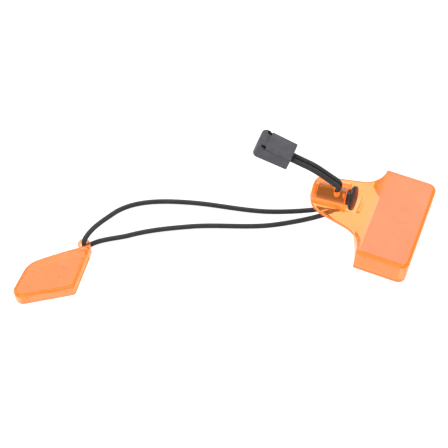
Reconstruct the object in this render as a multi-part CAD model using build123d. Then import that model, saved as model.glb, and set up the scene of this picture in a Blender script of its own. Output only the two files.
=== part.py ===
from build123d import *
import os
from math import asin, cos, radians, sin

# Head guard for an ice axe: a soft translucent cover for the adze with a cord lock moulded into
# its neck, a smaller cover for the pick, and one elastic cord that joins them.
# Frame: origin at the middle of the adze cover's flat underside, +X from the neck towards the
# closed end of the adze pocket, +Z up out of the face that the guard lies on. Millimetres.

os.makedirs("parts", exist_ok=True)

# ---- adze cover ----
POCKET_DEPTH = 31.0
POCKET_WIDTH = 63.0
POCKET_HEIGHT = 20.0
POCKET_WALL = 2.75
POCKET_FAR_WALL = 3.2
POCKET_CORNER = 5.0
POCKET_EDGE = 2.6
MOUTH_X = -POCKET_DEPTH / 2
NECK_PLATE = 3.0
NECK_WAIST_X = MOUTH_X - 11.5
NECK_WAIST = 17.0
NECK_FLARE = 12.8
NECK_SIDE = 16.6
NECK_SWEEP_RADIUS = 14.3
NECK_SWEEP_ANGLE = 74.0
FLANGE_RUN = 5.0
NECK_EDGE = 0.8
MARK_HEIGHT = 0.3
MARK_WIDTH = 1.2
ADZE_BAR_AT = (-10.6, -5.0)
ADZE_BAR_LENGTH = 39.0
ADZE_RING_AT = (2.7, 2.5)
ADZE_RING = 5.6

# ---- cord lock, measured from its cross-hole along a tilted axis ----
LOCK_X = MOUTH_X - 21.5
LOCK_Z = 23.3
LOCK_TILT = 8.0
BARREL_RADIUS = 8.0
BARREL_START = -15.4
BARREL_END = 5.6
BARREL_END_WALL = 1.4
BARREL_EDGE = 2.6
BORE_RADIUS = 5.0
CROSS_HOLE_ALONG = 4.2
CROSS_HOLE_ACROSS = 7.8
PLUNGER_RADIUS = 4.93
PLUNGER_START = -12.0
SKIRT_RADIUS = 3.6
SKIRT_END = -5.0
PLUNGER_SLOT_START = -0.2
PLUNGER_SLOT_END = 4.7
PLUNGER_TRAVEL = 1.8
BUTTON_START = BARREL_END + PLUNGER_TRAVEL + 0.2
BUTTON_END = 10.9
BUTTON_RADIUS = 7.5
BUTTON_RIM = 2.3
BARREL_SEAM = 2.0
DISH_START = 3.0
DISH_END = 12.4
DISH_RADIUS = 8.2
DISH_WALL = 1.3
SPRING_WIRE = 0.6
SPRING_RADIUS = 2.95
SPRING_TURNS = 6.5
SPRING_GAP = 0.06

# ---- elastic cord ----
CORD_RADIUS = 1.5
CORE_RADIUS = 1.0
CORE_GAP = 0.02
STRAND_SIDE = 1.65
STRAND_ALONG = 0.55
PINCH_START = -0.15
PINCH_END = 2.05
PINCH_HALF_HEIGHT = 5.2
SHEATH_PINCH = 0.45
CORD_TOP = 8.0
CORD_BOTTOM = -8.3
BALL_GAP = 0.05
BALL_LEDGE = 0.02
RIM_SETBACK = 1.35
CORE_SETBACK = 3.2
CORE_END = 0.4

# ---- tail: from the lock up and over to the cord end ----
TAIL_FIRST_BEND = 54.0
TAIL_FIRST_RADIUS = 4.5
TAIL_STRAIGHT = 11.7
TAIL_SECOND_BEND = 15.0
TAIL_SECOND_RADIUS = 30.0
TAIL_HEADING = 90.0 + LOCK_TILT + TAIL_FIRST_BEND + TAIL_SECOND_BEND
TAIL_TO_CORD_END = 21.4
TAIL_INSIDE = 12.6

# ---- cord end: a clamshell that grips the two cut ends ----
END_LENGTH = 22.0
END_WIDTH = 13.2
END_FAR_WIDTH = 14.0
END_HEIGHT = 10.2
END_BELLY = 0.8
END_CORNER = 3.2
END_EDGE = 0.7
LID_THICKNESS = 1.75
LID_GAP = 0.1
GROOVE_AT = 5.0
GROOVE_WIDTH = 1.3
GROOVE_DEPTH = 1.2
WEB_DROP = 0.35
WEB_THICKNESS = 0.45
NOTCH_LENGTH = 2.9
NOTCH_INNER = 4.2
NOTCH_OUTER = 6.2
NOTCH_DEPTH = 2.4
PAD_START = -9.5
PAD_END = 0.5
PAD_HALF_WIDTH = 2.9
SNAP_AT = -7.8
SNAP_LENGTH = 2.2
SNAP_SIDE = 4.6
SNAP_THICKNESS = 0.9
SNAP_REACH = 3.0
SNAP_PLAY = 0.3

# ---- pick cover, placed about its eyelet ----
EYELET_X = MOUTH_X - 152.5
EYELET_Y = -78.7
EYELET_RADIUS = 3.7
EYELET_HOLE = 1.9
EYELET_BOTTOM = 4.2
EYELET_TOP = 6.4
PICK_HEIGHT = 10.5
PICK_WALL = 2.2
PICK_EDGE = 1.9
PICK_TOP_EDGE = 2.1
PICK_SHOULDER = (5.3, 0.1)
PICK_CROWN = (-8.4, -11.1)
PICK_BACK = (-23.7, -25.8)
PICK_TIP = (-23.2, -51.8)
PICK_CHIN = (8.7, -30.3)
PICK_RING_AT = (-3.4, -23.6)
PICK_RING = 3.9
PICK_BACK_CORNER = 14.0
PICK_TIP_CORNER = 5.0
PICK_MOUTH_CORNER = 2.5
PICK_SHOULDER_CORNER = 1.0

# ---- loop: two legs lie on the table between the lock and the eyelet ----
# Each leg passes three folds. A fold is its place from the adze pocket's mouth, the way the cord
# runs there in plan, and how steeply it drops.
LEG_REST_Z = 1.65
LEG_A_FOLDS = (
    (-62.5, -14.8, 2.6, 195.0, 4.0),
    (-107.5, -25.3, LEG_REST_Z, 197.0, 0.0),
    (-147.4, -51.0, 2.2, 248.0, -8.0),
)
LEG_B_FOLDS = (
    (-59.3, -24.7, 2.6, 203.0, 4.0),
    (-101.0, -41.5, LEG_REST_Z, 207.6, 0.0),
    (-131.5, -60.4, LEG_REST_Z, 219.0, 0.0),
)
LOCK_GRIP = 9.0
CORD_GRIP = 0.35
EYELET_GRIP = 8.0
LEG_A_LEAVES = (0.05, 1.0)
LEG_B_LEAVES = (0.5, 0.87)
OVER_EYELET = 3.0
UNDER_EYELET = 2.55


# ---------------------------------------------------------------- lock frame
LOCK_CENTRE = Vector(LOCK_X, 0, LOCK_Z)
LOCK_ALONG = Vector(cos(radians(LOCK_TILT)), 0, sin(radians(LOCK_TILT)))
LOCK_UP = Vector(-sin(radians(LOCK_TILT)), 0, cos(radians(LOCK_TILT)))


def lock_point(along, side, up):
    return LOCK_CENTRE + LOCK_ALONG * along + Vector(0, side, 0) + LOCK_UP * up


def across_lock(along):
    """A plane square to the lock's axis, facing the button."""
    return Plane(origin=lock_point(along, 0, 0), x_dir=(0, 1, 0), z_dir=LOCK_ALONG)


def over_lock(up):
    """A plane along the lock's axis, facing up; its local X runs towards the button."""
    return Plane(origin=lock_point(0, 0, up), x_dir=LOCK_ALONG, z_dir=LOCK_UP)


# ---------------------------------------------------------------- adze cover
def adze_pocket():
    """The pillow-edged box that slips over the adze, open towards -X."""
    lying = (Align.CENTER, Align.CENTER, Align.MIN)
    shell = Box(POCKET_DEPTH, POCKET_WIDTH, POCKET_HEIGHT, align=lying)
    shell = fillet(shell.edges().filter_by(Axis.Z).group_by(Axis.X)[-1], POCKET_CORNER)
    rims = [e for e in shell.edges() if e.center().X > MOUTH_X + 0.01 and not on_side(e)]
    shell = fillet(rims, POCKET_EDGE)
    depth = POCKET_DEPTH - POCKET_FAR_WALL
    width = POCKET_WIDTH - 2 * POCKET_WALL
    height = POCKET_HEIGHT - 2 * POCKET_WALL
    cavity = Pos(MOUTH_X + depth / 2, 0, POCKET_WALL) * Box(depth, width, height, align=lying)
    cavity = fillet(cavity.edges().filter_by(Axis.Z).group_by(Axis.X)[-1], POCKET_EDGE)
    blunt = [e for e in cavity.edges() if e.center().X > MOUTH_X + 0.01]
    cavity = fillet([e for e in blunt if not spans_height(e, POCKET_WALL)], 1.2)
    return shell - cavity


def on_side(edge):
    """Whether an edge stands upright between the pocket's two flat faces."""
    return 0.01 < edge.center().Z < POCKET_HEIGHT - 0.01


def spans_height(edge, wall):
    return wall + 0.01 < edge.center().Z < POCKET_HEIGHT - wall - 0.01


def neck_outline():
    """Plan of the neck: it sweeps in from the pocket's corners, narrows and ends in a round."""
    waist = (NECK_WAIST_X, NECK_WAIST)
    flare = (cos(radians(NECK_FLARE)), sin(radians(NECK_FLARE)))
    sweep = JernArc(waist, tangent=flare, radius=NECK_SWEEP_RADIUS, arc_size=NECK_SWEEP_ANGLE)
    inside = MOUTH_X + POCKET_WALL
    top = Line(sweep @ 1, (inside, (sweep @ 1).Y))
    close = Line(top @ 1, (inside, 0))
    side = Line(waist, (waist[0] - NECK_SIDE * flare[0], waist[1] - NECK_SIDE * flare[1]))
    radius = (side @ 1).Y / flare[0]
    tip = JernArc(side @ 1, side % 1, radius=radius, arc_size=90 - NECK_FLARE)
    half = sweep + top + close + side + tip
    return make_face(half + mirror(half, about=Plane.XZ))


def neck():
    """The neck plate, flush with the pocket's top, and the flanges that stiffen its root."""
    outline = neck_outline()
    low = POCKET_HEIGHT - NECK_PLATE
    plate = Pos(0, 0, low) * extrude(outline, NECK_PLATE)
    rims = [e for e in plate.edges() if e.center().X < MOUTH_X - 0.5]
    plate = fillet([e for e in rims if abs(e.center().Y) > 1.0], NECK_EDGE)
    band = outline - offset(outline, amount=-POCKET_WALL)
    flanges = extrude(band, low + NECK_PLATE / 2)
    taper = Polyline(
        (MOUTH_X, -1),
        (MOUTH_X, 0),
        (MOUTH_X - FLANGE_RUN, low + 0.4),
        (-90, low + 0.4),
        (-90, -1),
        close=True,
    )
    cutter = extrude(Plane.XZ * make_face(taper), POCKET_WIDTH, both=True)
    flanges -= cutter
    mouth = Pos(MOUTH_X, 0, 0) * Box(
        2 * POCKET_WALL,
        2 * POCKET_WIDTH,
        3 * POCKET_HEIGHT,
        align=(Align.MIN, Align.CENTER, Align.CENTER),
    )
    return plate + (flanges - mouth)


def lock_barrel():
    """The lock's outside: a barrel closed at the neck's tip, half sunk in the neck plate."""
    length = BARREL_END - BARREL_START
    barrel = extrude(across_lock(BARREL_START) * Circle(BARREL_RADIUS), length)
    ends = barrel.edges().sort_by(Axis.X)
    barrel = fillet(ends[0], BARREL_EDGE)
    return barrel


def lock_openings():
    """Bore for the plunger, cross-hole for the two strands and the dish that the button sits in."""
    bore = extrude(
        across_lock(BARREL_START + BARREL_END_WALL) * Circle(BORE_RADIUS),
        BARREL_END - BARREL_START,
    )
    cross = over_lock(-3 * BARREL_RADIUS) * SlotOverall(
        CROSS_HOLE_ACROSS, CROSS_HOLE_ALONG, rotation=90
    )
    cross = extrude(cross, 6 * BARREL_RADIUS)
    dish = extrude(across_lock(BARREL_END) * Circle(DISH_RADIUS), DISH_END - BARREL_END)
    return bore + cross + dish


def dish_wall():
    """The trough under the neck plate that closes the button's dish from below."""
    length = DISH_END + DISH_WALL - DISH_START
    trough = extrude(across_lock(DISH_START) * Circle(DISH_RADIUS + DISH_WALL), length)
    under_plate = Pos(0, 0, POCKET_HEIGHT - NECK_PLATE / 2) * Box(
        8 * POCKET_WIDTH,
        POCKET_WIDTH,
        POCKET_WIDTH,
        align=(Align.CENTER, Align.CENTER, Align.MAX),
    )
    return trough & under_plate


def adze_marks():
    """A plain raised bar along the mouth and a plain raised ring, both on the pocket's top."""
    level = Pos(0, 0, POCKET_HEIGHT - MARK_HEIGHT)
    bar = level * Pos(*ADZE_BAR_AT) * SlotOverall(ADZE_BAR_LENGTH, MARK_WIDTH * 2, rotation=90)
    ring = level * Pos(*ADZE_RING_AT) * (Circle(ADZE_RING) - Circle(ADZE_RING - MARK_WIDTH))
    return extrude(bar, 2 * MARK_HEIGHT) + extrude(ring, 2 * MARK_HEIGHT)


def adze_cover():
    body = neck() + lock_barrel()
    seam = [e for e in body.edges() if is_barrel_seam(e)]
    body = fillet(seam, BARREL_SEAM)
    return adze_pocket() + body + dish_wall() - lock_openings() + adze_marks()


def is_barrel_seam(edge):
    """Whether an edge is where the barrel meets the top of the neck plate."""
    c = edge.center()
    near_top = abs(c.Z - POCKET_HEIGHT) < 0.01
    return near_top and abs(c.Y) < BARREL_RADIUS and c.X < LOCK_X + BARREL_END + 3


# ---------------------------------------------------------------- lock insides
def lock_plunger():
    """Rod with a cross slot for the strands, a hollow skirt for the spring and a domed button."""
    rod_length = BUTTON_START + BUTTON_RIM / 2 - PLUNGER_START
    rod = extrude(across_lock(PLUNGER_START) * Circle(PLUNGER_RADIUS), rod_length)
    skirt = extrude(across_lock(PLUNGER_START) * Circle(SKIRT_RADIUS), SKIRT_END - PLUNGER_START)
    middle = (PLUNGER_SLOT_START + PLUNGER_SLOT_END) / 2
    slot = RectangleRounded(PLUNGER_SLOT_END - PLUNGER_SLOT_START, CROSS_HOLE_ACROSS, 0.5)
    slot = extrude(over_lock(-2 * PLUNGER_RADIUS) * Pos(middle, 0) * slot, 4 * PLUNGER_RADIUS)
    return rod - skirt - slot + button()


def button():
    """The thumb button: a shallow dome with a rounded rim, turned about the lock's axis."""
    back = Line((BUTTON_START, 0), (BUTTON_START, BUTTON_RADIUS - 0.6))
    rim = ThreePointArc(
        back @ 1,
        (BUTTON_START + BUTTON_RIM / 2, BUTTON_RADIUS),
        (BUTTON_START + BUTTON_RIM, BUTTON_RADIUS - 0.4),
    )
    sag = BUTTON_END - (rim @ 1).X
    half = (rim @ 1).Y
    crown = (sag * sag + half * half) / (2 * sag)
    lean = asin(half / crown) / 2
    shoulder = (BUTTON_END - crown * (1 - cos(lean)), crown * sin(lean))
    dome = ThreePointArc(rim @ 1, shoulder, (BUTTON_END, 0))
    profile = make_face(back + rim + dome + Line(dome @ 1, back @ 0))
    upright = Plane(origin=LOCK_CENTRE, x_dir=LOCK_ALONG, z_dir=(0, -1, 0))
    return revolve(upright * profile, axis=Axis(LOCK_CENTRE, LOCK_ALONG))


def lock_spring():
    """The compression spring between the barrel's closed end and the plunger's skirt."""
    wire = SPRING_WIRE / 2
    start = BARREL_START + BARREL_END_WALL + wire + SPRING_GAP
    height = SKIRT_END - SPRING_GAP - wire - start
    coil = Helix(height / SPRING_TURNS, height, SPRING_RADIUS)
    coil = across_lock(start) * coil
    return sweep(Plane(origin=coil @ 0, z_dir=coil % 0) * Circle(wire), path=coil)


# ---------------------------------------------------------------- cord
def tube(path, radius):
    return sweep(Plane(origin=path @ 0, z_dir=path % 0) * Circle(radius), path=path)


def shortened(path, at_start, at_end):
    length = path.length
    return path.trim(at_start / length, 1 - at_end / length)


def ball(path, at):
    """The ball that rounds off a strand at one end of its path, a hair slimmer than the strand."""
    return Pos(*(path @ at)) * Sphere(CORD_RADIUS - BALL_LEDGE)


def sheath_segment(path, jointed_end=True):
    """A length of braided sheath: a cup at its start, turning on its neighbour's ball."""
    body = tube(shortened(path, RIM_SETBACK, 0), CORD_RADIUS)
    if jointed_end:
        body += ball(path, 1)
    body -= Pos(*(path @ 0)) * Sphere(CORD_RADIUS + BALL_GAP)
    hollow = shortened(path, CORE_SETBACK, CORE_END)
    return body - tube(hollow, CORE_RADIUS + CORE_GAP)


def core_segment(path):
    return tube(shortened(path, CORE_SETBACK + CORE_GAP, CORE_END + CORE_GAP), CORE_RADIUS)


def pinch_box(margin):
    """Two blocks, as one shape, that a squeezed strand may not enter."""
    height = 2 * (PINCH_HALF_HEIGHT + margin)
    centre = Plane(origin=LOCK_CENTRE, x_dir=LOCK_ALONG, z_dir=LOCK_UP)
    block = Box(CORD_RADIUS * 2, 4 * CORD_RADIUS * 2, height)
    before = centre * Pos(PINCH_START + margin - CORD_RADIUS, 0, 0) * block
    after = centre * Pos(PINCH_END - margin + CORD_RADIUS, 0, 0) * block
    return before + after


def strand_in_lock(side):
    return Line(
        lock_point(STRAND_ALONG, side, CORD_BOTTOM), lock_point(STRAND_ALONG, side, CORD_TOP)
    )


def lock_sheath(side):
    """The strand's sheath where it passes through the lock, squeezed by the plunger."""
    path = strand_in_lock(side)
    whole = tube(path, CORD_RADIUS) + ball(path, 0) + ball(path, 1)
    hollow = tube(path, CORE_RADIUS + CORE_GAP) - pinch_box(SHEATH_PINCH - CORE_GAP)
    return whole - pinch_box(0) - hollow


def lock_core(side):
    path = shortened(strand_in_lock(side), CORE_GAP, CORE_GAP)
    return tube(path, CORE_RADIUS) - pinch_box(SHEATH_PINCH)


# ---------------------------------------------------------------- cord routes
def beside(side):
    """The upright plane in which one strand of the tail lies; local Y is up."""
    return Plane(origin=(0, side, 0), x_dir=(1, 0, 0), z_dir=(0, -1, 0))


def heading(degrees):
    return (cos(radians(degrees)), sin(radians(degrees)))


def tail_near_path(side):
    """From the lock's top hole: a tight bend, a straight run and a slight bend."""
    start = lock_point(STRAND_ALONG, side, CORD_TOP)
    first = 90.0 + LOCK_TILT
    bend = JernArc((start.X, start.Z), heading(first), TAIL_FIRST_RADIUS, TAIL_FIRST_BEND)
    run = Line(bend @ 1, bend @ 1 + Vector(*heading(first + TAIL_FIRST_BEND)) * TAIL_STRAIGHT)
    droop = JernArc(run @ 1, run % 1, TAIL_SECOND_RADIUS, TAIL_SECOND_BEND)
    return beside(side) * Wire([bend.edge(), run.edge(), droop.edge()])


def tail_heading():
    across, up = heading(TAIL_HEADING)
    return Vector(across, 0, up)


def tail_far_path(side):
    start = tail_near_path(side) @ 1
    length = TAIL_TO_CORD_END - END_LENGTH / 2 + TAIL_INSIDE
    return Line(start, start + tail_heading() * length)


def quarter_turn(towards, height, radius):
    """A quarter circle from level to upright, ending on the eyelet's axis at a given height."""
    rise = abs(radius)
    centre = Vector(EYELET_X, EYELET_Y, height) + towards * rise
    level = centre + Vector(0, 0, radius)
    middle = centre + (Vector(0, 0, radius) - towards * rise) * sin(radians(45))
    return ThreePointArc(level, middle, Vector(EYELET_X, EYELET_Y, height))


def over_turn():
    return quarter_turn(Vector(*LEG_A_LEAVES, 0).normalized(), EYELET_TOP, OVER_EYELET)


def under_turn():
    return quarter_turn(Vector(*LEG_B_LEAVES, 0).normalized(), EYELET_BOTTOM, -UNDER_EYELET)


def fold_point(fold):
    return Vector(MOUTH_X + fold[0], fold[1], fold[2])


def fold_direction(fold):
    """Which way the cord runs at a fold, away from the lock."""
    plan, drop = radians(fold[3]), radians(fold[4])
    return Vector(cos(plan) * cos(drop), sin(plan) * cos(drop), -sin(drop))


def bend(start, leaving, grip, finish, arriving, other_grip):
    """A smooth curve from one point and direction to another."""
    return Bezier(start, start + leaving * grip, finish - arriving * other_grip, finish)


def leg_part(folds, side, index):
    """A leg between the lock and its first fold, or between two neighbouring folds."""
    finish = fold_point(folds[index])
    arriving = fold_direction(folds[index])
    if index == 0:
        start = lock_point(STRAND_ALONG, side, CORD_BOTTOM)
        return bend(start, LOCK_UP * -1, LOCK_GRIP, finish, arriving, 1.5 * LOCK_GRIP)
    start = fold_point(folds[index - 1])
    leaving = fold_direction(folds[index - 1])
    grip = (finish - start).length * CORD_GRIP
    return bend(start, leaving, grip, finish, arriving, grip)


def bight_path():
    """The turn through the eyelet: in from leg A's last fold and back out to leg B's."""
    last_a, last_b = LEG_A_FOLDS[-1], LEG_B_FOLDS[-1]
    over, under = over_turn(), under_turn()
    way_in = fold_direction(last_a)
    down = bend(fold_point(last_a), way_in, EYELET_GRIP, over @ 0, over % 0, EYELET_GRIP)
    through = Line(over @ 1, under @ 1)
    out = Vector(*LEG_B_LEAVES, 0).normalized()
    way_out = fold_direction(last_b) * -1
    back = bend(under @ 0, out, EYELET_GRIP, fold_point(last_b), way_out, EYELET_GRIP)
    return Wire([part.edge() for part in (down, over, through, under, back)])


def bight_sheath():
    path = bight_path()
    body = tube(shortened(path, RIM_SETBACK, RIM_SETBACK), CORD_RADIUS)
    for end in (0, 1):
        body -= Pos(*(path @ end)) * Sphere(CORD_RADIUS + BALL_GAP)
    return body - tube(shortened(path, CORE_SETBACK, CORE_SETBACK), CORE_RADIUS + CORE_GAP)


def bight_core():
    inset = CORE_SETBACK + CORE_GAP
    return tube(shortened(bight_path(), inset, inset), CORE_RADIUS)


# ---------------------------------------------------------------- cord end
def cord_end_plane():
    """Centre of the cord end; local X points away from the lock and local Z up."""
    middle = tail_near_path(0) @ 1 + tail_heading() * TAIL_TO_CORD_END
    upward = Vector(sin(radians(180 - TAIL_HEADING)), 0, cos(radians(180 - TAIL_HEADING)))
    return Plane(origin=middle, x_dir=tail_heading(), z_dir=upward)


def block(x_from, x_to, y_from, y_to, z_from, z_to):
    size = (x_to - x_from, y_to - y_from, z_to - z_from)
    return Pos(x_from, y_from, z_from) * Box(*size, align=(Align.MIN, Align.MIN, Align.MIN))


def cord_end_outside():
    """The closed cord end: it widens and deepens a little away from the cord."""
    half, near, far = END_LENGTH / 2, END_WIDTH / 2, END_FAR_WIDTH / 2
    plan = Polyline((-half, -near), (half, -far), (half, far), (-half, near), close=True)
    top = END_HEIGHT / 2
    side = Polyline((-half, -top), (half, -top - END_BELLY), (half, top), (-half, top), close=True)
    whole = extrude(make_face(plan), END_HEIGHT, both=True)
    whole &= extrude(Plane.XZ * make_face(side), END_FAR_WIDTH, both=True)
    far = whole.edges().filter_by(Axis.Z).group_by(Axis.X)[-1]
    whole = fillet(far, END_CORNER)
    return fillet(whole.edges(), END_EDGE)


def lid_region(gap):
    """The part of the cord end that the lid takes up, grown or shrunk by a gap."""
    top = END_HEIGHT / 2
    return block(
        -END_LENGTH,
        GROOVE_AT + gap,
        -END_WIDTH,
        END_WIDTH,
        top - LID_THICKNESS - gap,
        END_HEIGHT,
    )


def web(x_from, x_to):
    top = END_HEIGHT / 2 - WEB_DROP
    return block(x_from, x_to, -NOTCH_INNER, NOTCH_INNER, top - WEB_THICKNESS, top)


def cord_end_lid():
    """The lid, its half of the living hinge, a toothed pad over the cords and two snaps."""
    hinge = GROOVE_AT + GROOVE_WIDTH / 2
    lid = cord_end_outside() & lid_region(0)
    lid += web(GROOVE_AT - 0.5, hinge - 0.01)
    under = END_HEIGHT / 2 - LID_THICKNESS
    pad = block(
        PAD_START,
        PAD_END,
        -PAD_HALF_WIDTH,
        PAD_HALF_WIDTH,
        CORD_RADIUS + BALL_GAP,
        under + 0.3,
    )
    teeth = 4
    pitch = (PAD_END - PAD_START) / teeth
    for tooth in range(teeth):
        valley = Pos(PAD_START + pitch * (tooth + 0.5), 0, CORD_RADIUS) * Rot(0, 45, 0)
        pad -= valley * Box(0.8, 2 * END_WIDTH, 0.8)
    lid += pad
    for side in (-1, 1):
        lid += snap(side, under)
    return cord_end_plane() * lid


def snap(side, under):
    middle = side * SNAP_SIDE
    half = SNAP_THICKNESS / 2
    return block(
        SNAP_AT - SNAP_LENGTH / 2,
        SNAP_AT + SNAP_LENGTH / 2,
        middle - half,
        middle + half,
        under - SNAP_REACH,
        under + 0.3,
    )


def cord_end_base():
    """The tray that the two cut ends lie in, with the other half of the living hinge."""
    top = END_HEIGHT / 2
    hinge = GROOVE_AT + GROOVE_WIDTH / 2
    base = cord_end_outside() - lid_region(LID_GAP)
    far = GROOVE_AT + GROOVE_WIDTH
    base -= block(GROOVE_AT, far, -END_WIDTH, END_WIDTH, top - GROOVE_DEPTH, END_HEIGHT)
    base += web(hinge + 0.01, far + 0.5)
    for side in (-1, 1):
        inner, outer = sorted((side * NOTCH_INNER, side * NOTCH_OUTER))
        base -= block(GROOVE_AT, GROOVE_AT + NOTCH_LENGTH, inner, outer, top - NOTCH_DEPTH, END_HEIGHT)
        reach = SNAP_THICKNESS / 2 + SNAP_PLAY
        base -= block(
            SNAP_AT - SNAP_LENGTH / 2 - 1.3,
            SNAP_AT + SNAP_LENGTH / 2 + SNAP_PLAY,
            side * SNAP_SIDE - reach,
            side * SNAP_SIDE + reach,
            top - LID_THICKNESS - SNAP_REACH - SNAP_PLAY,
            END_HEIGHT,
        )
    start = -END_LENGTH / 2 - 1
    finish = -END_LENGTH / 2 + TAIL_INSIDE + 0.4
    channel = CORD_RADIUS + BALL_GAP
    for side in (-1, 1):
        lying = Pos(start, side * STRAND_SIDE, 0) * Rot(0, 90, 0)
        base -= lying * Cylinder(
            channel, finish - start, align=(Align.CENTER, Align.CENTER, Align.MIN)
        )
    base -= block(start, finish, -STRAND_SIDE - channel, STRAND_SIDE + channel, 0, END_HEIGHT / 2 - 0.1)
    return cord_end_plane() * base


# ---------------------------------------------------------------- pick cover
def pick_outline():
    """Plan of the pick cover about its eyelet: a leaning four-sided shape with a bowed top."""
    crown = ThreePointArc(PICK_SHOULDER, PICK_CROWN, PICK_BACK)
    back = Line(PICK_BACK, PICK_TIP)
    belly = Line(PICK_TIP, PICK_CHIN)
    mouth = Line(PICK_CHIN, PICK_SHOULDER)
    plan = make_face(crown + back + belly + mouth)
    plan = fillet(nearest(plan, PICK_BACK), PICK_BACK_CORNER)
    plan = fillet(nearest(plan, PICK_TIP), PICK_TIP_CORNER)
    plan = fillet(nearest(plan, PICK_CHIN), PICK_MOUTH_CORNER)
    plan = fillet(nearest(plan, PICK_SHOULDER), PICK_SHOULDER_CORNER)
    return plan


def nearest(plan, corner):
    return plan.vertices().sort_by_distance((corner[0], corner[1], 0))[0]


def mouth_direction():
    """Unit vector out of the pick cover's mouth, in plan."""
    along = Vector(PICK_SHOULDER[0] - PICK_CHIN[0], PICK_SHOULDER[1] - PICK_CHIN[1], 0).normalized()
    return Vector(along.Y, -along.X, 0)


def pick_cover():
    plan = pick_outline()
    shell = extrude(plan, PICK_HEIGHT)
    shell = fillet(shell.faces().sort_by(Axis.Z)[-1].edges(), PICK_TOP_EDGE)
    shell = fillet(shell.faces().sort_by(Axis.Z)[0].edges(), PICK_EDGE)
    hollow = offset(plan, amount=-PICK_WALL)
    out = mouth_direction() * (2 * PICK_WALL)
    hollow = extrude(Pos(0, 0, PICK_WALL) * hollow, PICK_HEIGHT - 2 * PICK_WALL)
    hollow += Pos(*out) * hollow
    shell -= hollow
    ear = Pos(0, 0, EYELET_BOTTOM) * Cylinder(
        EYELET_RADIUS,
        EYELET_TOP - EYELET_BOTTOM,
        align=(Align.CENTER, Align.CENTER, Align.MIN),
    )
    shell += ear - hollow
    shell -= Cylinder(EYELET_HOLE, 4 * PICK_HEIGHT)
    ring = Circle(PICK_RING) - Circle(PICK_RING - MARK_WIDTH * 0.8)
    shell += extrude(Pos(*PICK_RING_AT, PICK_HEIGHT - MARK_HEIGHT) * ring, 2 * MARK_HEIGHT)
    return Pos(EYELET_X, EYELET_Y, 0) * shell


# ---------------------------------------------------------------- write the parts
def save(shape, name):
    export_step(shape, f"parts/{name}.step")


def build():
    save(adze_cover(), "adze_cover")
    save(lock_plunger(), "lock_plunger")
    save(lock_spring(), "lock_spring")
    for name, side in (("a", STRAND_SIDE), ("b", -STRAND_SIDE)):
        save(lock_sheath(side), f"lock_strand_{name}_sheath")
        save(lock_core(side), f"lock_strand_{name}_core")
        save(sheath_segment(tail_near_path(side)), f"tail_near_{name}_sheath")
        save(core_segment(tail_near_path(side)), f"tail_near_{name}_core")
        save(sheath_segment(tail_far_path(side), jointed_end=False), f"tail_far_{name}_sheath")
        save(core_segment(tail_far_path(side)), f"tail_far_{name}_core")
    legs = (("a", STRAND_SIDE, LEG_A_FOLDS), ("b", -STRAND_SIDE, LEG_B_FOLDS))
    for name, side, folds in legs:
        for index, place in enumerate(("near", "middle", "far")):
            path = leg_part(folds, side, index)
            save(sheath_segment(path), f"leg_{place}_{name}_sheath")
            save(core_segment(path), f"leg_{place}_{name}_core")
    save(bight_sheath(), "bight_sheath")
    save(bight_core(), "bight_core")
    save(cord_end_base(), "cord_end_base")
    save(cord_end_lid(), "cord_end_lid")
    save(pick_cover(), "pick_cover")


build()
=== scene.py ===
import math

import bpy
import numpy as np
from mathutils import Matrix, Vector


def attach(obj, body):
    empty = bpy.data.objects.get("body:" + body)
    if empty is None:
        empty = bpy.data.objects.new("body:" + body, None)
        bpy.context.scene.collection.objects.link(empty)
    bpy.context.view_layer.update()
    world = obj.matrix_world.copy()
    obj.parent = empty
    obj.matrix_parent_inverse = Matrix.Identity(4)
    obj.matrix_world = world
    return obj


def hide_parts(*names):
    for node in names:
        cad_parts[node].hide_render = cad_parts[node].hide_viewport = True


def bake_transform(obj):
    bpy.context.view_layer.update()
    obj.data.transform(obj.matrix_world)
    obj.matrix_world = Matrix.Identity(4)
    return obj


# The looks of an ice axe head guard: translucent orange covers, a braided elastic cord, a dark
# cord lock plunger and a dark clamshell on the cord's ends. The frame gives the rigid pieces;
# the cord is built here as one continuous braid and cut where it crosses a joint.

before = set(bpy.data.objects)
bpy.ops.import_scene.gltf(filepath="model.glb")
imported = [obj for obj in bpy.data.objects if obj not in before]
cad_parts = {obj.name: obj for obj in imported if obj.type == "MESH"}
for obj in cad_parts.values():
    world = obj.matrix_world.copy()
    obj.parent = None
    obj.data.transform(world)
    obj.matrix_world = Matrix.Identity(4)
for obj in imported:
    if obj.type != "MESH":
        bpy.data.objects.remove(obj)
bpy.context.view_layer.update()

MM = 0.001

# ---- lock, in mm, as the CAD has it ----
MOUTH_X = -15.5
LOCK_TILT = math.radians(8.0)
LOCK_CENTRE = np.array([MOUTH_X - 21.5, 0.0, 23.3])
LOCK_ALONG = np.array([math.cos(LOCK_TILT), 0.0, math.sin(LOCK_TILT)])
LOCK_UP = np.array([-math.sin(LOCK_TILT), 0.0, math.cos(LOCK_TILT)])
STRAND_SIDE = 1.65
STRAND_ALONG = 0.55
CORD_TOP = 8.0
CORD_BOTTOM = -8.3
PINCH_MIDDLE = 0.95
PINCH_HALF_HEIGHT = 5.2
PINCH_THICKNESS = 0.72
PINCH_FADE = 1.2
PINCH_REACH = 2.5

# ---- cord ----
CORD_RADIUS = 1.5
CARRIERS = 10
YARN_LENGTH = 0.98
BRAID_DEPTH = 0.11
RING_POINTS = 50
RING_STEP = 0.19

# ---- tail ----
TAIL_FIRST_BEND = 54.0
TAIL_FIRST_RADIUS = 4.5
TAIL_STRAIGHT = 11.7
TAIL_SECOND_BEND = 15.0
TAIL_SECOND_RADIUS = 30.0
TAIL_FAR_LENGTH = 21.4 - 22.0 / 2 + 12.6

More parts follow.
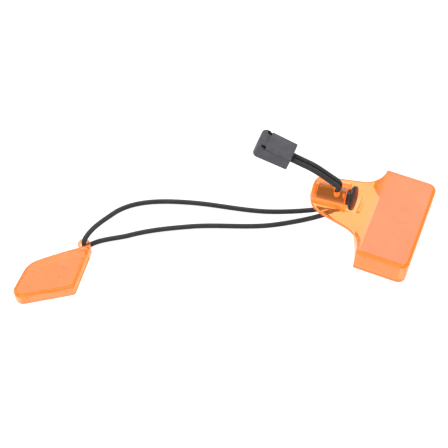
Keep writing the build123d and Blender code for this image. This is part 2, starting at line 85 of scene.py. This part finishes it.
# ---- loop ----
LEG_REST_Z = 1.65
LEG_FOLDS = {
    "a": (
        (-62.5, -14.8, 2.6, 195.0, 4.0),
        (-107.5, -25.3, LEG_REST_Z, 197.0, 0.0),
        (-147.4, -51.0, 2.2, 248.0, -8.0),
    ),
    "b": (
        (-59.3, -24.7, 2.6, 203.0, 4.0),
        (-101.0, -41.5, LEG_REST_Z, 207.6, 0.0),
        (-131.5, -60.4, LEG_REST_Z, 219.0, 0.0),
    ),
}
LOCK_GRIP = 9.0
CORD_GRIP = 0.35
EYELET_GRIP = 8.0
EYELET = np.array([MOUTH_X - 152.5, -78.7, 0.0])
EYELET_TOP = 6.4
EYELET_BOTTOM = 4.2
OVER_EYELET = 3.0
UNDER_EYELET = 2.55
LEAVES = {"a": (0.05, 1.0), "b": (0.5, 0.87)}

# ---- where the cord is cut into pieces, and how far the cuts sit from the lock's top and the last fold ----
CORD_PLACES = ("tip", "tail_middle", "lock_top", "lock_bottom", "fold_1", "fold_2", "fold_3")
TAIL_CUT = 13.0
BIGHT_CUT = 13.0

# ---- finishes ----
COVER_ROUGHNESS = 0.09
COVER_SPECULAR = 0.22
COVER_SHADE = (0.985, 0.98, 0.975, 1)
COVER_SKIN = (1.0, 0.60, 0.26, 1)
COVER_TINT = (0.994, 0.26, 0.0, 1)
COVER_DENSITY = 175.0
# The next two set a painted glow: emission inside the covers, standing in for light scattering back
# out of thick places.
COVER_PAINTED_GLOW = (1.0, 0.45, 0.05, 1)
COVER_PAINTED_GLOW_STRENGTH = 95.0
TOP_HAZE = 0.42
PICK_HAZE = 0.42
SIDE_HAZE = 0.015
SLOPED_NORMAL, LEVEL_NORMAL = 0.93, 0.995
ADZE_HAZE_FROM_TO = ((MOUTH_X - 3.0) * MM, (MOUTH_X + 3.0) * MM)
PICK_HAZE_FROM_TO = (-110.0 * MM, -100.0 * MM)
FLOOR_GLOW = 0.86
FLOOR_BOUNCE = 0.12
WORLD_STRENGTH = 0.34
WORLD_SEEN = 1.05
WORN_SHARE = 0.35
SHARP_ANGLE = math.radians(28.0)

# ---- view ----
LOOK_AT = (-97.8, -30.8, 0.0)
VIEW_AZIMUTH = 22.0
VIEW_ELEVATION = 57.75
VIEW_DISTANCE = 642.2
LENS = 85.0
SENSOR = 36.0


# ---------------------------------------------------------------- curves, in mm
def unit(v):
    v = np.asarray(v, float)
    return v / np.linalg.norm(v)


def line(a, b):
    return np.linspace(a, b, 40)


def bezier(a, b, c, d):
    t = np.linspace(0, 1, 160)[:, None]
    return a * (1 - t) ** 3 + 3 * b * t * (1 - t) ** 2 + 3 * c * t**2 * (1 - t) + d * t**3


def arc(start, heading, radius, degrees):
    """An arc to the left of its heading, in the upright plane of the tail; also its last heading."""
    angles = np.radians(np.linspace(0, degrees, 60))
    first = math.radians(heading)
    turn = first + angles
    x = start[0] + radius * (np.sin(turn) - math.sin(first))
    z = start[2] - radius * (np.cos(turn) - math.cos(first))
    return np.stack([x, np.full_like(x, start[1]), z], axis=1), heading + degrees


def lock_point(along, side, up):
    return LOCK_CENTRE + LOCK_ALONG * along + np.array([0, side, 0]) + LOCK_UP * up


def tail_curves(side):
    """The tail near the lock and the tail inside the cord end, both leading away from the lock."""
    start = lock_point(STRAND_ALONG, side, CORD_TOP)
    heading = 90.0 + math.degrees(LOCK_TILT)
    first, heading = arc(start, heading, TAIL_FIRST_RADIUS, TAIL_FIRST_BEND)
    way = np.array([math.cos(math.radians(heading)), 0, math.sin(math.radians(heading))])
    run = line(first[-1], first[-1] + way * TAIL_STRAIGHT)
    droop, heading = arc(run[-1], heading, TAIL_SECOND_RADIUS, TAIL_SECOND_BEND)
    way = np.array([math.cos(math.radians(heading)), 0, math.sin(math.radians(heading))])
    far = line(droop[-1], droop[-1] + way * TAIL_FAR_LENGTH)
    return joined([first, run, droop]), far


def fold_point(fold):
    return np.array([MOUTH_X + fold[0], fold[1], fold[2]])


def fold_direction(fold):
    plan, drop = math.radians(fold[3]), math.radians(fold[4])
    level = math.cos(drop)
    return np.array([math.cos(plan) * level, math.sin(plan) * level, -math.sin(drop)])


def leg_curves(name, side):
    """The three stretches of one leg, leading away from the lock."""
    folds = LEG_FOLDS[name]
    start = lock_point(STRAND_ALONG, side, CORD_BOTTOM)
    first = fold_point(folds[0])
    arriving = fold_direction(folds[0])
    stretches = [
        bezier(start, start - LOCK_UP * LOCK_GRIP, first - arriving * 1.5 * LOCK_GRIP, first)
    ]
    for one, two in zip(folds, folds[1:]):
        a, b = fold_point(one), fold_point(two)
        grip = np.linalg.norm(b - a) * CORD_GRIP
        stretches.append(
            bezier(a, a + fold_direction(one) * grip, b - fold_direction(two) * grip, b)
        )
    return stretches


def quarter_turn(name, height, radius):
    """A quarter circle from level to upright, ending on the eyelet's axis."""
    towards = np.append(unit(LEAVES[name]), 0.0) * abs(radius)
    rise = np.array([0, 0, radius])
    centre = EYELET + np.array([0, 0, height]) + towards
    t = np.linspace(0, math.pi / 2, 40)[:, None]
    return centre + rise * np.cos(t) - towards * np.sin(t)


def bight_curve():
    """From leg A's last fold, through the eyelet and back to leg B's last fold."""
    fold_a, fold_b = LEG_FOLDS["a"][-1], LEG_FOLDS["b"][-1]
    over = quarter_turn("a", EYELET_TOP, OVER_EYELET)
    under = quarter_turn("b", EYELET_BOTTOM, -UNDER_EYELET)
    out_a = np.append(unit(LEAVES["a"]), 0.0)
    out_b = np.append(unit(LEAVES["b"]), 0.0)
    start, finish = fold_point(fold_a), fold_point(fold_b)
    down = bezier(
        start,
        start + fold_direction(fold_a) * EYELET_GRIP,
        over[0] + out_a * EYELET_GRIP,
        over[0],
    )
    back = bezier(
        under[0],
        under[0] + out_b * EYELET_GRIP,
        finish + fold_direction(fold_b) * EYELET_GRIP,
        finish,
    )
    return joined([down, over, line(over[-1], under[-1]), under[::-1], back])


def joined(curves):
    points = [curves[0]]
    for curve in curves[1:]:
        points.append(curve[1:])
    return np.concatenate(points)


def length_of(points):
    return float(np.linalg.norm(np.diff(points, axis=0), axis=1).sum())


# ---------------------------------------------------------------- the whole cord
def cord_route():
    """The cord as one line of points, and the distance along it of every place it is cut or bends."""
    near_a, far_a = tail_curves(STRAND_SIDE)
    near_b, far_b = tail_curves(-STRAND_SIDE)
    legs_a = leg_curves("a", STRAND_SIDE)
    legs_b = leg_curves("b", -STRAND_SIDE)
    lock_a = line(lock_point(STRAND_ALONG, STRAND_SIDE, CORD_TOP), legs_a[0][0])
    lock_b = line(legs_b[0][0], lock_point(STRAND_ALONG, -STRAND_SIDE, CORD_TOP))
    order = [
        ("tip_a", far_a[::-1]),
        ("tail_middle_a", near_a[::-1]),
        ("lock_top_a", lock_a),
        ("lock_bottom_a", legs_a[0]),
        ("fold_1_a", legs_a[1]),
        ("fold_2_a", legs_a[2]),
        ("fold_3_a", bight_curve()),
        ("fold_3_b", legs_b[2][::-1]),
        ("fold_2_b", legs_b[1][::-1]),
        ("fold_1_b", legs_b[0][::-1]),
        ("lock_bottom_b", lock_b),
        ("lock_top_b", near_b),
        ("tail_middle_b", far_b),
    ]
    stops, total = {}, 0.0
    for name, curve in order:
        stops[name] = total
        total += length_of(curve)
    stops["tip_b"] = total
    return joined([curve for _, curve in order]), stops


def resampled(points, step):
    """The same line with even steps, and the distance along it of each new point."""
    steps = np.linalg.norm(np.diff(points, axis=0), axis=1)
    at = np.concatenate([[0.0], np.cumsum(steps)])
    count = int(round(at[-1] / step))
    even = np.linspace(0, at[-1], count + 1)
    return np.stack([np.interp(even, at, points[:, i]) for i in range(3)], axis=1), even


def carried_frames(points):
    """A direction across the line at each point, carried along it without twist."""
    along = np.gradient(points, axis=0)
    along /= np.linalg.norm(along, axis=1)[:, None]
    across = np.zeros_like(points)
    across[0] = unit(np.cross(along[0], [0.3, 0.2, 1.0]))
    for i in range(1, len(points)):
        carried = across[i - 1] - along[i] * np.dot(across[i - 1], along[i])
        across[i] = carried / np.linalg.norm(carried)
    return along, across, np.cross(along, across)


def braid_height(turn, distance):
    """Height, about -0.4 to 1.3, of a plain tubular braid of two crossing sets of yarns."""
    u = CARRIERS * turn + distance / YARN_LENGTH
    v = CARRIERS * turn - distance / YARN_LENGTH
    parity_u = np.where(np.floor(u) % 2 == 0, 1.0, -1.0)
    parity_v = np.where(np.floor(v) % 2 == 0, 1.0, -1.0)
    round_u = np.sqrt(1 - 0.95 * (2 * (u % 1) - 1) ** 2)
    round_v = np.sqrt(1 - 0.95 * (2 * (v % 1) - 1) ** 2)
    yarn_u = round_u + 0.35 * np.sin(math.pi * v) * parity_u
    yarn_v = round_v - 0.35 * np.sin(math.pi * u) * parity_v
    return np.maximum(yarn_u, yarn_v)


def squeezed(points, offsets):
    """Flattens and shifts the cord between the plunger and the barrel, inside the lock."""
    local = points - LOCK_CENTRE
    up = np.abs(local @ LOCK_UP)
    along = np.abs(local @ LOCK_ALONG)
    edge = np.clip((PINCH_HALF_HEIGHT + PINCH_FADE - up) / PINCH_FADE, 0, 1)
    share = np.where(along < PINCH_REACH, edge * edge * (3 - 2 * edge), 0.0)
    across = offsets @ LOCK_ALONG
    cut = across * (1 - PINCH_THICKNESS) * share[:, None]
    shift = (PINCH_MIDDLE - STRAND_ALONG) * share
    return offsets - cut[..., None] * LOCK_ALONG, points + shift[:, None] * LOCK_ALONG


def cord_rings():
    """Every ring of the braided cord, in mm, with its distance along the cord."""
    ring_points = RING_POINTS
    step = RING_STEP
    route, stops = cord_route()
    points, distance = resampled(route, step)
    along, across, third = carried_frames(points)
    turn = np.arange(ring_points) / ring_points
    height = braid_height(turn[None, :], distance[:, None])
    radius = CORD_RADIUS * (1 - BRAID_DEPTH * (1.3 - height))
    c, s = np.cos(turn * 2 * math.pi), np.sin(turn * 2 * math.pi)
    offsets = across[:, None, :] * c[None, :, None] + third[:, None, :] * s[None, :, None]
    offsets = offsets * radius[..., None]
    offsets, centres = squeezed(points, offsets)
    return centres[:, None, :] + offsets, centres, distance, stops


def mesh_object(name, vertices, faces):
    mesh = bpy.data.meshes.new(name)
    mesh.from_pydata([tuple(v) for v in vertices], [], faces)
    mesh.validate()
    mesh.shade_smooth()
    piece = bpy.data.objects.new(name, mesh)
    bpy.context.scene.collection.objects.link(piece)
    return piece


def tube_piece(name, rings, centres):
    """A closed tube through rings of points; both ends are capped with a fan."""
    count, around = rings.shape[:2]
    vertices = np.concatenate([rings.reshape(-1, 3), centres[:1], centres[-1:]]) * MM
    i = np.arange(count - 1)[:, None] * around
    j = np.arange(around)[None, :]
    k = (j + 1) % around
    quads = np.stack([i + j, i + k, i + around + k, i + around + j], axis=-1).reshape(-1, 4)
    faces = [tuple(q) for q in quads.tolist()]
    first, last = count * around, count * around + 1
    top = (count - 1) * around
    for a in range(around):
        b = (a + 1) % around
        faces.append((first, b, a))
        faces.append((last, top + a, top + b))
    return mesh_object(name, vertices, faces)


CORD_RINGS, CORD_CENTRES, CORD_DISTANCE, STOPS = cord_rings()


def cord_piece(name, start, finish):
    chosen = np.where((CORD_DISTANCE >= start - 1e-6) & (CORD_DISTANCE <= finish + 1e-6))[0]
    low, high = chosen[0], chosen[-1]
    if high + 1 < len(CORD_DISTANCE):
        high += 1
    piece = tube_piece(name, CORD_RINGS[low : high + 1], CORD_CENTRES[low : high + 1])
    return piece


def halfway(one, two):
    return (STOPS[one] + STOPS[two]) / 2


def strand_nodes(part, name):
    return (f"{part}_{name}_sheath", f"{part}_{name}_core")


def bent_cord(name, places, nodes):
    """A length of cord between two places, its placement baked into the mesh; the CAD strand nodes it
    stands for are hidden.
    """
    piece = cord_piece(name, min(places), max(places))
    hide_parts(*nodes)
    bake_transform(piece)
    return piece


def strand_pieces(name):
    """All the lengths of one strand, from its tip in the cord end to its last fold."""
    sign = 1 if name == "a" else -1
    at = {key: STOPS[f"{key}_{name}"] for key in CORD_PLACES}
    lock = halfway(f"lock_top_{name}", f"lock_bottom_{name}")
    tail = at["lock_top"] - sign * TAIL_CUT
    near = (at["lock_bottom"] + at["fold_1"]) / 2
    middle = (at["fold_1"] + at["fold_2"]) / 2
    far = (at["fold_2"] + at["fold_3"]) / 2
    past = at["fold_3"] + sign * BIGHT_CUT
    return [
        bent_cord(
            f"cord_tail_to_clip_{name}",
            (at["tip"], tail),
            strand_nodes("tail_far", name),
        ),
        bent_cord(
            f"cord_lock_to_tail_{name}",
            (tail, lock),
            strand_nodes("tail_near", name) + strand_nodes("lock_strand", name),
        ),
        bent_cord(
            f"cord_lock_to_loop_{name}",
            (lock, near),
            strand_nodes("leg_near", name),
        ),
        bent_cord(
            f"cord_loop_first_{name}",
            (near, middle),
            strand_nodes("leg_middle", name),
        ),
        bent_cord(
            f"cord_loop_second_{name}",
            (middle, far),
            strand_nodes("leg_far", name),
        ),
        bent_cord(
            f"cord_loop_third_{name}",
            (far, past),
            (),
        ),
    ]


def bight_piece():
    start, finish = STOPS["fold_3_a"] + BIGHT_CUT, STOPS["fold_3_b"] - BIGHT_CUT
    piece = cord_piece("cord_eyelet_turn", start, finish)
    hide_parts("bight_sheath", "bight_core")
    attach(piece, "bight")
    return piece


# ---------------------------------------------------------------- materials
class Nodes:
    """A small helper to write a material's node tree."""

    def __init__(self, name):
        self.material = bpy.data.materials.new(name)
        self.material.use_nodes = True
        self.tree = self.material.node_tree
        self.tree.nodes.clear()
        self.output = self.add("ShaderNodeOutputMaterial")

    def add(self, kind, **inputs):
        node = self.tree.nodes.new(kind)
        for key, value in inputs.items():
            name = key.replace("_", " ")
            if name in node.inputs:
                self.set(node.inputs[name], value)
            else:
                setattr(node, key, value)
        return node

    def set(self, socket, value):
        if isinstance(value, bpy.types.NodeSocket):
            self.tree.links.new(value, socket)
        else:
            socket.default_value = value

    def surface(self, socket):
        self.set(self.output.inputs["Surface"], socket)
        return self.material

    def volume(self, socket):
        self.set(self.output.inputs["Volume"], socket)

    def noise(self, scale, detail=3.0, roughness=0.55):
        coordinates = self.add("ShaderNodeTexCoord").outputs["Object"]
        return self.add(
            "ShaderNodeTexNoise",
            Vector=coordinates,
            Scale=scale,
            Detail=detail,
            Roughness=roughness,
        ).outputs["Fac"]

    def ramp(self, factor, low, high, start=0.3, end=0.7):
        node = self.add("ShaderNodeValToRGB", Fac=factor)
        node.color_ramp.elements[0].position = start
        node.color_ramp.elements[0].color = low
        node.color_ramp.elements[1].position = end
        node.color_ramp.elements[1].color = high
        return node.outputs["Color"]

    def ranged(self, factor, start, end, low, high):
        node = self.add("ShaderNodeMapRange", Value=factor)
        for name, value in zip(("From Min", "From Max", "To Min", "To Max"), (start, end, low, high)):
            node.inputs[name].default_value = value
        return node.outputs["Result"]

    def span(self, factor, low, high):
        return self.ranged(factor, 0.0, 1.0, low, high)

    def math(self, operation, one, two):
        node = self.add("ShaderNodeMath", operation=operation)
        self.set(node.inputs[0], one)
        self.set(node.inputs[1], two)
        return node.outputs[0]

    def mix_shaders(self, factor, one, two):
        node = self.add("ShaderNodeMixShader", Fac=factor)
        self.set(node.inputs[1], one)
        self.set(node.inputs[2], two)
        return node.outputs[0]

    def add_shaders(self, one, two):
        node = self.add("ShaderNodeAddShader")
        self.set(node.inputs[0], one)
        self.set(node.inputs[1], two)
        return node.outputs[0]

    def blend_colours(self, factor, low, high):
        node = self.add("ShaderNodeMix", data_type="RGBA")
        self.set(node.inputs[0], factor)
        self.set(node.inputs[6], low)
        self.set(node.inputs[7], high)
        return node.outputs[2]

    def bump(self, height, strength, distance):
        return self.add(
            "ShaderNodeBump", Height=height, Strength=strength, Distance=distance
        ).outputs["Normal"]


def haze_share(n, along):
    """How milky the skin is: most on the flat tops of the two pockets, least on walls and neck."""
    geometry = n.add("ShaderNodeNewGeometry")
    upward = n.add("ShaderNodeSeparateXYZ", Vector=geometry.outputs["Normal"]).outputs["Z"]
    level = n.ranged(upward, SLOPED_NORMAL, LEVEL_NORMAL, 0.0, 1.0)
    on_adze = n.ranged(along, *ADZE_HAZE_FROM_TO, 0.0, TOP_HAZE)
    on_pick = n.ranged(along, *PICK_HAZE_FROM_TO, PICK_HAZE, 0.0)
    tops = n.math("MULTIPLY", n.math("ADD", on_adze, on_pick), level)
    outside = n.math("SUBTRACT", 1.0, geometry.outputs["Backfacing"])
    return n.math("MULTIPLY", n.math("ADD", tops, SIDE_HAZE), outside)


def clear_skin(n):
    """The polished surface that light refracts through."""
    skin = n.add(
        "ShaderNodeBsdfPrincipled",
        Base_Color=COVER_SKIN,
        Roughness=n.span(n.noise(180.0), COVER_ROUGHNESS - 0.03, COVER_ROUGHNESS + 0.04),
        IOR=1.45,
        Normal=n.bump(n.noise(420.0, 3.0), 0.05, 0.0002),
    )
    skin.inputs["Transmission Weight"].default_value = 1.0
    skin.inputs["Specular IOR Level"].default_value = COVER_SPECULAR
    return skin.outputs[0]


def milky_skin(n, along):
    """The frosted part of the surface, lit from both sides; deeper orange on the pick cover."""
    pale = n.ramp(n.noise(70.0, 3.0), (1.0, 0.66, 0.53, 1), (1.0, 0.74, 0.60, 1))
    deep = n.ramp(n.noise(70.0, 3.0), (1.0, 0.35, 0.13, 1), (1.0, 0.42, 0.18, 1))
    haze = n.blend_colours(n.ranged(along, *PICK_HAZE_FROM_TO, 0.0, 1.0), deep, pale)
    front = n.add("ShaderNodeBsdfDiffuse", Color=haze).outputs[0]
    behind = n.add("ShaderNodeBsdfTranslucent", Color=haze).outputs[0]
    return n.mix_shaders(0.5, front, behind)


def cover_inside(n, seen):
    """Colour that deepens with thickness, and a painted glow: emission inside the moulding, stronger
    through thick places, standing in for light scattering back out of them.
    """
    density = n.math("MULTIPLY", seen, COVER_DENSITY)
    strength = n.math("MULTIPLY", seen, COVER_PAINTED_GLOW_STRENGTH)
    tint = n.add("ShaderNodeVolumeAbsorption", Color=COVER_TINT, Density=density).outputs[0]
    # Painted glow: the covers give off light of their own here, in place of light scattering out of
    # the moulding.
    painted_glow = n.add("ShaderNodeEmission", Color=COVER_PAINTED_GLOW, Strength=strength).outputs[0]
    return n.add_shaders(tint, painted_glow)


def cover_material():
    """Clear orange moulding, frosted on its flat tops. It hardly stops the light on other things."""
    n = Nodes("orange_tpu")
    place = n.add("ShaderNodeNewGeometry").outputs["Position"]
    along = n.add("ShaderNodeSeparateXYZ", Vector=place).outputs["X"]
    body = n.mix_shaders(haze_share(n, along), clear_skin(n), milky_skin(n, along))
    clear = n.add("ShaderNodeBsdfTransparent", Color=COVER_SHADE).outputs[0]
    path = n.add("ShaderNodeLightPath")
    unseen = n.math("MAXIMUM", path.outputs["Is Shadow Ray"], path.outputs["Is Diffuse Ray"])
    n.volume(cover_inside(n, n.math("SUBTRACT", 1.0, unseen)))
    return n.surface(n.mix_shaders(unseen, body, clear))


def plastic_material(name, dark, light, roughness, grain):
    """Moulded plastic with a fine grain, faint mottling and slightly uneven polish."""
    n = Nodes(name)
    skin = n.add(
        "ShaderNodeBsdfPrincipled",
        Base_Color=n.ramp(n.noise(220.0, 4.0), dark, light),
        Roughness=n.span(n.noise(400.0), roughness - 0.08, roughness + 0.08),
        Normal=n.bump(n.noise(grain, 2.0), 0.25, 0.00008),
    )
    return n.surface(skin.outputs[0])


def steel_material():
    n = Nodes("drawn_spring_steel")
    skin = n.add(
        "ShaderNodeBsdfPrincipled",
        Base_Color=n.ramp(n.noise(900.0), (0.45, 0.45, 0.47, 1), (0.68, 0.68, 0.70, 1)),
        Roughness=n.span(n.noise(1500.0), 0.22, 0.4),
        Metallic=1.0,
    )
    return n.surface(skin.outputs[0])


def cord_material():
    """Dark polyester braid: fibre noise, worn crowns and a soft sheen."""
    n = Nodes("braided_polyester")
    fibres = n.noise(5200.0, 2.0)
    patches = n.noise(300.0, 3.0)
    fine = n.ramp(fibres, (0.028, 0.027, 0.028, 1), (0.108, 0.106, 0.109, 1))
    worn = n.ramp(patches, (0.044, 0.043, 0.044, 1), (0.102, 0.100, 0.104, 1))
    skin = n.add(
        "ShaderNodeBsdfPrincipled",
        Base_Color=n.blend_colours(WORN_SHARE, fine, worn),
        Roughness=n.span(fibres, 0.55, 0.85),
        Normal=n.bump(fibres, 0.5, 0.00006),
    )
    skin.inputs["Sheen Weight"].default_value = 0.35
    skin.inputs["Sheen Roughness"].default_value = 0.4
    return n.surface(skin.outputs[0])


def floor_material():
    """Pale paper sweep, bright enough that shadows on it stay faint, but dim as a light source."""
    n = Nodes("pale_floor")
    tone = n.ramp(n.noise(3.0, 2.0), (0.54, 0.54, 0.54, 1), (0.58, 0.58, 0.58, 1))
    skin = n.add("ShaderNodeBsdfPrincipled", Base_Color=tone, Roughness=0.85).outputs[0]
    glow = n.add("ShaderNodeEmission", Color=(1.0, 1.0, 1.0, 1), Strength=FLOOR_GLOW).outputs[0]
    bounce_tone = (FLOOR_BOUNCE, FLOOR_BOUNCE, FLOOR_BOUNCE, 1)
    bounce = n.add("ShaderNodeBsdfDiffuse", Color=bounce_tone).outputs[0]
    lighting = n.add("ShaderNodeLightPath").outputs["Is Diffuse Ray"]
    return n.surface(n.mix_shaders(lighting, n.add_shaders(skin, glow), bounce))


def dress(piece, material):
    piece.data.materials.clear()
    piece.data.materials.append(material)


# ---------------------------------------------------------------- dress the pieces
def dress_frame():
    cover = cover_material()
    lock = plastic_material(
        "plunger_plastic", (0.040, 0.034, 0.034, 1), (0.065, 0.055, 0.055, 1), 0.34, 2600.0
    )
    clip = plastic_material(
        "clip_plastic", (0.125, 0.125, 0.145, 1), (0.170, 0.170, 0.192, 1), 0.48, 3200.0
    )
    finishes = {
        "adze_cover": cover,
        "pick_cover": cover,
        "lock_plunger": lock,
        "lock_spring": steel_material(),
        "cord_end_base": clip,
        "cord_end_lid": clip,
    }
    for node, material in finishes.items():
        dress(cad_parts[node], material)
        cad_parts[node].data.shade_smooth()
        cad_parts[node].data.set_sharp_from_angle(angle=SHARP_ANGLE)


def dress_cord():
    braid = cord_material()
    pieces = strand_pieces("a") + strand_pieces("b") + [bight_piece()]
    for piece in pieces:
        dress(piece, braid)


# ---------------------------------------------------------------- stage
def make_floor():
    size = 1.6
    corners = [(-size, -size, 0), (size, -size, 0), (size, size, 0), (-size, size, 0)]
    floor = mesh_object("floor", [(x, y, z - 0.0002) for x, y, z in corners], [(0, 1, 2, 3)])
    dress(floor, floor_material())


def make_light(name, place, size, power):
    data = bpy.data.lights.new(name, "AREA")
    data.size = size
    data.energy = power
    lamp = bpy.data.objects.new(name, data)
    lamp.location = place
    aim = Vector(LOOK_AT) * MM - Vector(place)
    lamp.rotation_euler = aim.to_track_quat("-Z", "Y").to_euler()
    bpy.context.scene.collection.objects.link(lamp)


def make_world():
    world = bpy.data.worlds.new("soft_studio")
    world.use_nodes = True
    tree = world.node_tree
    background = tree.nodes["Background"]
    background.inputs["Color"].default_value = (1.0, 1.0, 1.0, 1)
    path = tree.nodes.new("ShaderNodeLightPath")
    strength = tree.nodes.new("ShaderNodeMapRange")
    strength.inputs["To Min"].default_value = WORLD_STRENGTH
    strength.inputs["To Max"].default_value = WORLD_SEEN
    tree.links.new(path.outputs["Is Camera Ray"], strength.inputs["Value"])
    tree.links.new(strength.outputs["Result"], background.inputs["Strength"])
    bpy.context.scene.world = world


def make_camera():
    azimuth, elevation = math.radians(VIEW_AZIMUTH), math.radians(VIEW_ELEVATION)
    back = Vector(
        (
            math.sin(azimuth) * math.cos(elevation),
            -math.cos(azimuth) * math.cos(elevation),
            math.sin(elevation),
        )
    )
    data = bpy.data.cameras.new("photo_view")
    data.lens = LENS
    data.sensor_width = SENSOR
    data.clip_start = 0.01
    camera = bpy.data.objects.new("photo_view", data)
    camera.location = (Vector(LOOK_AT) + back * VIEW_DISTANCE) * MM
    camera.rotation_euler = (-back).to_track_quat("-Z", "Y").to_euler()
    bpy.context.scene.collection.objects.link(camera)
    bpy.context.scene.camera = camera


def make_stage():
    make_floor()
    make_world()
    make_light("key_softbox", (-0.45, 0.35, 0.75), 0.6, 4.0)
    make_light("fill_softbox", (0.45, -0.45, 0.7), 0.7, 0.8)
    make_camera()
    bpy.context.scene.view_settings.view_transform = "Standard"


dress_frame()
dress_cord()
make_stage()
